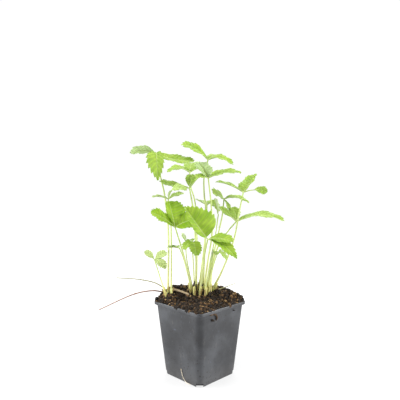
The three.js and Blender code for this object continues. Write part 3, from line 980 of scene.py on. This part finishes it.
def soften(value, low, high):
    t = np.clip((value - low) / (high - low), 0, 1)
    return t * t * (3 - 2 * t)


# The soil is low in front and heaped into a ridge from left to right through the crowns.
def soilHeight(x, y):
    out = np.minimum(1, (np.abs(x) + np.abs(y)) / 60)
    front = soilShape["frontRise"] * (1 - out**1.5)
    ridge = np.interp(x, soilShape["ridgeAt"], soilShape["ridgeTop"]) - soilShape["edge"]
    ridge = ridge * (1 - 0.7 * soften(y, 18, 56)) * soften(60 - 60 * out, -2, 5)
    share = soften(y, -18, 8)
    heapX, heapY, heapRise, heapWidth = soilShape["leftHeap"]
    heap = heapRise * np.exp(-((x - heapX) ** 2 + (y - heapY) ** 2) / heapWidth**2)
    return soilShape["edge"] + front * (1 - share) + ridge * share + heap


def roughness(x, y):
    total = np.zeros(len(x))
    for i, (a, b) in enumerate(zip(x, y)):
        p = Vector((a, b, 0))
        total[i] = noise.noise(p / 8) * 1.3 + abs(noise.noise(p / 3.2)) * 1.5 + noise.noise(p / 1.3) * 0.5
    return total * soilShape["clods"]


# A square of points, from -1 to 1, drawn in to the pot's rounded corners.
def toRoundedSquare(u, v, halfWidth, corner):
    angle = np.arctan2(np.abs(v), np.abs(u))
    folded = np.minimum(angle, math.pi / 2 - angle)
    square = halfWidth / np.cos(folded)
    centre = halfWidth - corner
    turn = math.pi / 4 - folded
    middle = centre * math.sqrt(2)
    arc = middle * np.cos(turn) + np.sqrt(np.maximum(0, corner**2 - (middle * np.sin(turn)) ** 2))
    inArc = np.tan(folded) * halfWidth > centre
    share = np.where(inArc, np.minimum(1, arc / square), 1)
    return u * halfWidth * share, v * halfWidth * share


def makeSoilMaterial():
    material, tree, output, place = startMaterial("soil")
    tone = readAttribute(tree, "tone").outputs["Fac"]
    grit = noiseNode(tree, place, 700.0, 5.0, 0.7)
    uneven = mathNode(tree, "MULTIPLY", mathNode(tree, "SUBTRACT", grit, 0.5), 0.95)
    value = mathNode(tree, "DIVIDE", mathNode(tree, "ADD", tone, uneven), 1.6)
    stops = [(0.0, "dark"), (0.28, "mid"), (0.46, "brown"), (0.62, "tan"), (1.0, "straw")]
    colour = rampNode(tree, value, [(position, soilLook[name]) for position, name in stops])
    rough = mapRange(tree, noiseNode(tree, place, 300.0), 0.3, 0.7, 0.6, 0.95)
    bump = linkNode(tree, "ShaderNodeBump", {"Height": grit, "Strength": 0.7, "Distance": 0.0006})
    inputs = {"Base Color": colour, "Roughness": rough, "Normal": bump.outputs[0], "Specular IOR Level": 0.3}
    shader = linkNode(tree, "ShaderNodeBsdfPrincipled", inputs)
    finishSurface(tree, output, shader.outputs[0])
    return material


def makeSoil():
    steps = soilShape["steps"]
    line = np.linspace(-1, 1, steps)
    u, v = np.meshgrid(line, line)
    x, y = toRoundedSquare(u.ravel(), v.ravel(), soilShape["halfWidth"], soilShape["corner"])
    flat = toPlant(np.stack([x, y, 0 * x], -1))
    z = soilHeight(flat[:, 0], flat[:, 1])
    rim = np.maximum(np.abs(u), np.abs(v)).ravel()
    z = z + roughness(x, y) * np.clip((1 - rim) / 0.06, 0.25, 1)
    top = np.stack([x, y, z], -1)
    index = np.arange(steps * steps).reshape(steps, steps)
    quads = np.stack([index[:-1, :-1], index[:-1, 1:], index[1:, 1:], index[1:, :-1]], -1).reshape(-1, 4)
    loop = np.concatenate([index[0, :], index[1:, -1], index[-1, -2::-1], index[-2:0:-1, 0]])
    faces = quads.tolist()
    points = [top]
    previous = loop
    count = len(top)
    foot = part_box("pot")[1].z / mm - potShape["rimHeight"]
    for z, width in ((foot - 3, potShape["topWidth"] - 4), (soilShape["bottom"], potShape["baseWidth"] - 4)):
        shrink = width / 2 / soilShape["halfWidth"]
        ring = top[loop] * (shrink, shrink, 0) + (0, 0, z)
        points.append(ring)
        current = np.arange(count, count + len(loop))
        after = np.roll(previous, -1)
        faces += np.stack([after, previous, current, np.roll(current, -1)], -1).tolist()
        previous = current
        count += len(loop)
    points.append(np.array([[0, 0, soilShape["bottom"]]]))
    faces += [(count, int(b), int(a)) for a, b in zip(previous, np.roll(previous, -1))]
    points = np.concatenate(points)
    tone = 0.22 + 0.25 * np.array([noise.noise(Vector(p) / 2.2) for p in points])
    soil = makePiece("soil_heaped", points * mm, faces, [soilMaterial], None, {"tone": tone})
    cutAway(soil, [slotBlock(math.pi / 4 + quarter * math.pi / 2, 0.4) for quarter in range(4)])
    settle(soil, "soil", "soil")


def randomTurns(random, count):
    q = random.normal(size=(count, 4))
    q /= np.linalg.norm(q, axis=1, keepdims=True)
    w, x, y, z = q.T
    rows = [
        [1 - 2 * (y * y + z * z), 2 * (x * y - z * w), 2 * (x * z + y * w)],
        [2 * (x * y + z * w), 1 - 2 * (x * x + z * z), 2 * (y * z - x * w)],
        [2 * (x * z - y * w), 2 * (y * z + x * w), 1 - 2 * (x * x + y * y)],
    ]
    return np.array(rows).transpose(2, 0, 1)


def ballTemplate(detail):
    bpy.ops.mesh.primitive_ico_sphere_add(subdivisions=detail, radius=1)
    ball = bpy.context.object
    points = np.array([v.co for v in ball.data.vertices])
    faces = [tuple(face.vertices) for face in ball.data.polygons]
    bpy.data.objects.remove(ball)
    return points, faces


# Places on the soil's top in pot millimetres, some of them on the rim.
def scatter(random, count, rimShare):
    halfWidth = soilShape["halfWidth"]
    u, v = random.uniform(-1, 1, (2, count))
    onRim = random.uniform(size=count) < rimShare
    side = random.integers(0, 4, count)
    edge = np.where(side < 2, 1.0, -1.0)
    u, v = np.where(onRim & (side % 2 == 0), edge, u), np.where(onRim & (side % 2 == 1), edge, v)
    spread = halfWidth + np.where(onRim, random.uniform(-0.8, 1.2, count), -0.4)
    x, y = toRoundedSquare(u, v, spread, soilShape["corner"])
    flat = toPlant(np.stack([x, y, 0 * x], -1))
    z = soilHeight(flat[:, 0], flat[:, 1]) + roughness(x, y) * 0.8
    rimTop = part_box("pot")[1].z / mm
    z = np.where(onRim, np.maximum(np.minimum(z, rimTop + 2.5), rimTop + 0.1), z)
    return np.stack([x, y, z], -1)


def crumbTones(random, count):
    tones = random.beta(1.0, 2.4, count)
    return np.where(random.uniform(size=count) < 0.035, random.uniform(0.7, 1.0, count), tones)


def addCrumbs(store, random, count, detail, sizes, rimShare):
    template, faces = ballTemplate(detail)
    centres = scatter(random, count, rimShare)
    turns = randomTurns(random, count)
    radius = np.exp(random.uniform(math.log(sizes[0]), math.log(sizes[1]), count))
    stretch = random.uniform(0.55, 1.25, (count, 1, 3)) * radius[:, None, None]
    lumpy = template[None] * random.uniform(0.7, 1.2, (count, len(template), 1)) * stretch
    points = np.einsum("nij,nkj->nki", turns, lumpy) + centres[:, None, :]
    tones = crumbTones(random, count)
    for i in range(count):
        gather(store, toPlant(points[i]), faces, 0, {"tone": tones[i]})


def addChips(store, random, count):
    centres = scatter(random, count, 0.1)
    for i in range(count):
        length = random.uniform(2.5, 8.5)
        width = random.uniform(1.0, 3.0)
        thick = random.uniform(0.4, 1.2)
        sides = 7
        rings = []
        for share in np.linspace(-1, 1, 5):
            taper = (1 - 0.75 * abs(share) ** 3) * random.uniform(0.8, 1.15)
            angles = np.arange(sides) / sides * 2 * math.pi
            wide = np.cos(angles) * width / 2 * taper
            high = np.sin(angles) * thick / 2 * taper
            ring = np.stack([share * length / 2 + 0 * angles, wide, high], -1)
            rings.append([tuple(p) for p in ring + random.uniform(-0.12, 0.12, ring.shape)])
        points, faces = loftRings(rings)
        heading = random.uniform(0, 2 * math.pi)
        tilt = random.normal(0, 0.35)
        level = math.cos(tilt)
        along = np.array([math.cos(heading) * level, math.sin(heading) * level, math.sin(tilt)])
        across = np.cross((0, 0, 1), along)
        across /= np.linalg.norm(across)
        frameOf = np.stack([along, across, np.cross(along, across)])
        points = points @ frameOf + centres[i] + (0, 0, thick * 0.3)
        tone = random.choice([0.02, 0.2, 0.4, 0.7, 0.92], p=[0.3, 0.22, 0.18, 0.16, 0.14])
        gather(store, toPlant(points), faces, 0, {"tone": float(tone)})


def addFibres(store, random, count):
    centres = scatter(random, count, 0.08)
    for i in range(count):
        heading = random.uniform(0, 2 * math.pi)
        length = random.uniform(3, 11)
        bend = random.normal(0, 0.5)
        line = [centres[i] + (0, 0, -0.4)]
        for step in range(7):
            heading += bend / 3 + random.normal(0, 0.15)
            rise = random.normal(0.12, 0.3)
            line.append(line[-1] + length / 7 * np.array([math.cos(heading), math.sin(heading), rise]))
        line = np.array(line)
        limit = soilShape["halfWidth"] + 1.5
        line[:, :2] = np.clip(line[:, :2], -limit, limit)
        radii = np.linspace(1, 0.4, len(line)) * random.uniform(0.12, 0.3)
        points, faces, along = tubeMesh(line, radii, 5)
        gather(store, toPlant(points), faces, 0, {"tone": float(random.choice([0.1, 0.5, 0.8, 0.95]))})


# Pieces seen one by one: two bark sticks on the left of the heap, in plant millimetres, and a curl of root,
# a straw and some crumbs on the outside of the pot, in pot millimetres.
soilExtras = {
    "stick": {
        "line": [(-40, -2, 114.6), (-30, -4, 114.0), (-21, -6, 111.6), (-13, -8, 109.0)],
        "radius": 1.6,
        "tone": 1.15,
    },
    "stickTwo": {
        "line": [(-38, 2, 117.6), (-27, 0, 116.4), (-17, -1, 114.2)],
        "radius": 1.2,
        "tone": 0.02,
    },
    "curl": {
        "line": [
            (43.8, -27, 94.6),
            (44.2, -20.5, 94.8),
            (43.9, -15, 92.4),
            (43.5, -12.6, 88),
            (42.9, -13.6, 84.6),
        ],
        "radius": 1.5,
        "tone": 0.5,
    },
    "straw": {
        "line": [(1.9, -36.4, 17), (3.2, -36.0, 11), (6.6, -35.5, 4.5), (12, -35.6, 1.2), (19, -35.3, 1.0)],
        "radius": 0.5,
        "tone": 1.5,
    },
}
wallCrumbs = [  # place and radius of each crumb stuck to the pot's right wall
    ((43.3, -21.0, 86.8), 1.6),
    ((43.4, -18.6, 85.6), 1.1),
    ((43.2, 19, 91), 0.9),
    ((43.4, 21.4, 90.4), 0.6),
]


def addExtras(store, random):
    for name, extra in soilExtras.items():
        line = smoothLine(extra["line"], 26)
        taper = np.interp(np.linspace(0, 1, len(line)), [0, 0.1, 0.8, 1], [0.55, 1, 0.9, 0.35])
        radii = taper * extra["radius"] * random.uniform(0.85, 1.15, len(line))
        points, faces, along = tubeMesh(line, radii, 9, 0.6)
        points = points + random.normal(0, 0.06, points.shape)
        if not name.startswith("stick"):
            points = toPlant(points)
        gather(store, points, faces, 0, {"tone": extra["tone"]})
    template, faces = ballTemplate(2)
    for centre, radius in wallCrumbs:
        lump = template * random.uniform(0.75, 1.2, (len(template), 1)) * radius
        gather(store, toPlant(lump + centre), faces, 0, {"tone": 0.2})


soilMaterial = makeSoilMaterial()
makeSoil()
random = np.random.default_rng(crumbs["seed"])
fine = newGathering()
addCrumbs(fine, random, crumbs["small"], 1, (0.45, 1.3), crumbs["rimShare"])
settle(closeGathering("soil_crumbs", fine, [soilMaterial], False), "soil")
coarse = newGathering()
addCrumbs(coarse, random, crumbs["large"], 2, (1.2, 3.0), 0.12)
addChips(coarse, random, crumbs["chips"])
addFibres(coarse, random, crumbs["fibres"])
addExtras(coarse, random)
settle(closeGathering("soil_bark", coarse, [soilMaterial], False), "soil")
print("soil heaped, with", crumbs["small"] + crumbs["large"], "crumbs")

# Crowns: woody stems half sunk in the soil, with old leaf bases and papery scales round the stalks.
crownLook = {
    "wood": linear(58, 44, 26),
    "green": linear(128, 118, 56),
    "sheath": linear(204, 200, 122),
    "scale": linear(200, 186, 112),
    "scaleTip": linear(140, 112, 66),
    "stub": linear(40, 28, 18),
    "sink": 5,
}
oldStubs = [  # x, y and length of each old leaf base
    (-9, -5, 21),
    (-5.5, -6, 16),
    (-1.5, -4, 15),
    (11.5, -7, 11),
    (14, -4, 9),
    (-13, -1, 10),
    (4, -8, 9),
]


def makeCrownMaterial():
    material, tree, output, place = startMaterial("crown")
    along = readAttribute(tree, "along").outputs["Fac"]
    tone = readAttribute(tree, "tone").outputs["Fac"]
    squeezed = linkNode(tree, "ShaderNodeMapping", {"Vector": place, "Scale": (1, 1, 2.5)}).outputs[0]
    rings = noiseNode(tree, squeezed, 320.0, 4.0)
    wood = mixColour(tree, mapRange(tree, rings, 0.3, 0.7), crownLook["wood"], crownLook["green"])
    papery = mixColour(tree, along, crownLook["scale"], crownLook["scaleTip"])
    ringed = mapRange(tree, rings, 0.45, 0.8, 0, 0.7)
    sheath = mixColour(tree, ringed, crownLook["sheath"], crownLook["green"])
    sheath = mixColour(tree, mapRange(tree, along, 0.1, 0.75, 0.75, 0), sheath, crownLook["green"])
    colour = mixColour(tree, mapRange(tree, tone, 0.0, 0.3), wood, sheath)
    colour = mixColour(tree, mapRange(tree, tone, 0.35, 0.6), colour, papery)
    colour = mixColour(tree, mapRange(tree, tone, 0.7, 1.0), colour, crownLook["stub"])
    bump = linkNode(tree, "ShaderNodeBump", {"Height": rings, "Strength": 0.6, "Distance": 0.0006})
    inputs = {"Base Color": colour, "Roughness": 0.75, "Normal": bump.outputs[0]}
    shader = linkNode(tree, "ShaderNodeBsdfPrincipled", inputs)
    finishSurface(tree, output, shader.outputs[0])
    return material


def scaleMesh(foot, up, outward, length, width):
    rows = 9
    columns = 7
    points = []
    for i in range(rows):
        t = i / (rows - 1)
        half = width / 2 * (1 - t) ** 0.6 * (0.75 + 0.8 * t)
        for j in range(columns):
            c = 2 * j / (columns - 1) - 1
            across = np.cross(up, outward)
            curl = 0.28 * width * (1 - c * c)
            flare = 0.22 * length * t**2.2
            points.append(foot + up * t * length + across * c * max(half, 0.08) + outward * (curl + flare))
    points = np.array(points)
    faces = sheetFaces(rows, columns)
    along = np.repeat(np.linspace(0, 1, rows), columns)
    return np.concatenate([points, points - outward * 0.2]), faces, np.concatenate([along, along])


def makeCrown(node, spread, stubs, scalesPerStalk, seed):
    random = np.random.default_rng(seed)
    low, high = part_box(node)
    size = np.array(high - low) / mm / 2
    middle = toPlant(np.array((low + high) / 2) / mm)
    top = high.z / mm
    chosen = [leaf for leaf in leaves.values() if (node == "crown_left") == bool(leaf.get("crown"))]
    store = newGathering()
    template, faces = ballTemplate(5)
    radii = np.array([*spread, size[2]])
    lumps = np.array([noise.noise(Vector(p) * 3.1 + Vector((seed, 0, 0))) for p in template])
    fine = np.array([noise.noise(Vector(p) * 9.0) for p in template])
    body = template * (1 + 0.12 * lumps + 0.05 * fine)[:, None] * (radii * 0.86)
    body = body + middle - (0, 0, crownLook["sink"])
    gather(store, body, faces, 0, {"along": 0.0, "tone": 0.0})
    for leaf in chosen:
        x, y = leaf["foot"]
        foot = np.array([x, y, soilHeight(x, y) - 3])
        ahead = np.array(leaf["via"][0], float) - foot
        ahead /= np.linalg.norm(ahead)
        line = np.array([foot + ahead * step for step in (0, 3, 6, 9, 12, 15)])
        points, faces, along = tubeMesh(line, [1.95, 1.9, 1.8, 1.75, 1.65, 1.55], 12)
        gather(store, points, faces, 0, {"along": along, "tone": 0.3})
        for number in range(scalesPerStalk):
            angle = random.uniform(0, 2 * math.pi)
            outward = np.array([math.cos(angle), math.sin(angle), 0])
            outward = outward - ahead * np.dot(outward, ahead)
            outward /= np.linalg.norm(outward)
            length = random.uniform(7, 11)
            width = random.uniform(2.2, 3.2)
            points, faces, along = scaleMesh(foot + ahead * 3 + outward * 1.4, ahead, outward, length, width)
            gather(store, points, faces, 0, {"along": along, "tone": 0.6})
    for x, y, length in stubs:
        foot = np.array([x, y, top - 8])
        lean = random.normal(0, 0.16, 2)
        line = np.array([foot + np.array([lean[0], lean[1], 1]) * step * length / 5 for step in range(6)])
        radii = np.linspace(1.5, 0.8, 6) * random.uniform(0.8, 1.2, 6)
        points, faces, along = tubeMesh(line, radii, 9)
        gather(store, points, faces, 0, {"along": 0.6 + 0.4 * along, "tone": 1.0})
    made = closeGathering(node + "_grown", store, [crownMaterial])
    settle(made, "crown", node)


crownMaterial = makeCrownMaterial()
makeCrown("crown_main", (23, 15), oldStubs, 2, 3)
makeCrown("crown_left", (6, 5), [], 2, 5)
print("crowns grown")

# Runners: bare threads that arch out over the rim.
runnerLook = {
    "green": {"base": linear(132, 126, 72), "tip": linear(168, 168, 120), "blotch": linear(104, 84, 60)},
    "red": {"base": linear(120, 76, 56), "tip": linear(160, 122, 98), "blotch": linear(92, 62, 50)},
}
runners = {
    "runner_left_green": {
        "colour": "green",
        "radius": (0.85, 0.55),
        "route": [(-45, 3, 112.8), (-59, 8, 120.5), (-81, 7, 126), (-112, 4, 129)],
    },
    "runner_left_red": {
        "colour": "red",
        "radius": (0.95, 0.6),
        "route": [(-49.5, 5, 109.6), (-63, -6, 114), (-85, -10, 111), (-133, -12, 90)],
    },
    "runner_right": {
        "colour": "green",
        "radius": (0.7, 0.45),
        "route": [(25, 3, 113.6), (35, 10, 115), (50, 24, 117)],
    },
}


def makeRunnerMaterial(name, look):
    material, tree, output, place = startMaterial("runner_" + name)
    along = readAttribute(tree, "along").outputs["Fac"]
    colour = rampNode(tree, along, [(0.0, look["base"]), (1.0, look["tip"])])
    blotch = mapRange(tree, noiseNode(tree, place, 180.0), 0.4, 0.7, 0.0, 0.4)
    colour = mixColour(tree, blotch, colour, look["blotch"])
    inputs = {"Base Color": colour, "Roughness": 0.5}
    shader = linkNode(tree, "ShaderNodeBsdfPrincipled", inputs)
    finishSurface(tree, output, shader.outputs[0])
    return material


runnerMaterials = {name: makeRunnerMaterial(name, look) for name, look in runnerLook.items()}
for name, runner in runners.items():
    line = smoothLine(runner["route"], 60)
    share = np.linspace(0, 1, 60)
    thick, thin = runner["radius"]
    knots = 0.35 * np.exp(-(((share - 0.55) / 0.012) ** 2))
    points, faces, along = tubeMesh(line, thick + (thin - thick) * share + knots * thick, 8)
    store = newGathering()
    gather(store, points, faces, 0, {"along": along})
    made = closeGathering(name + "_grown", store, [runnerMaterials[runner["colour"]]])
    settle(made, "runner", name)
print("runners grown:", len(runners))
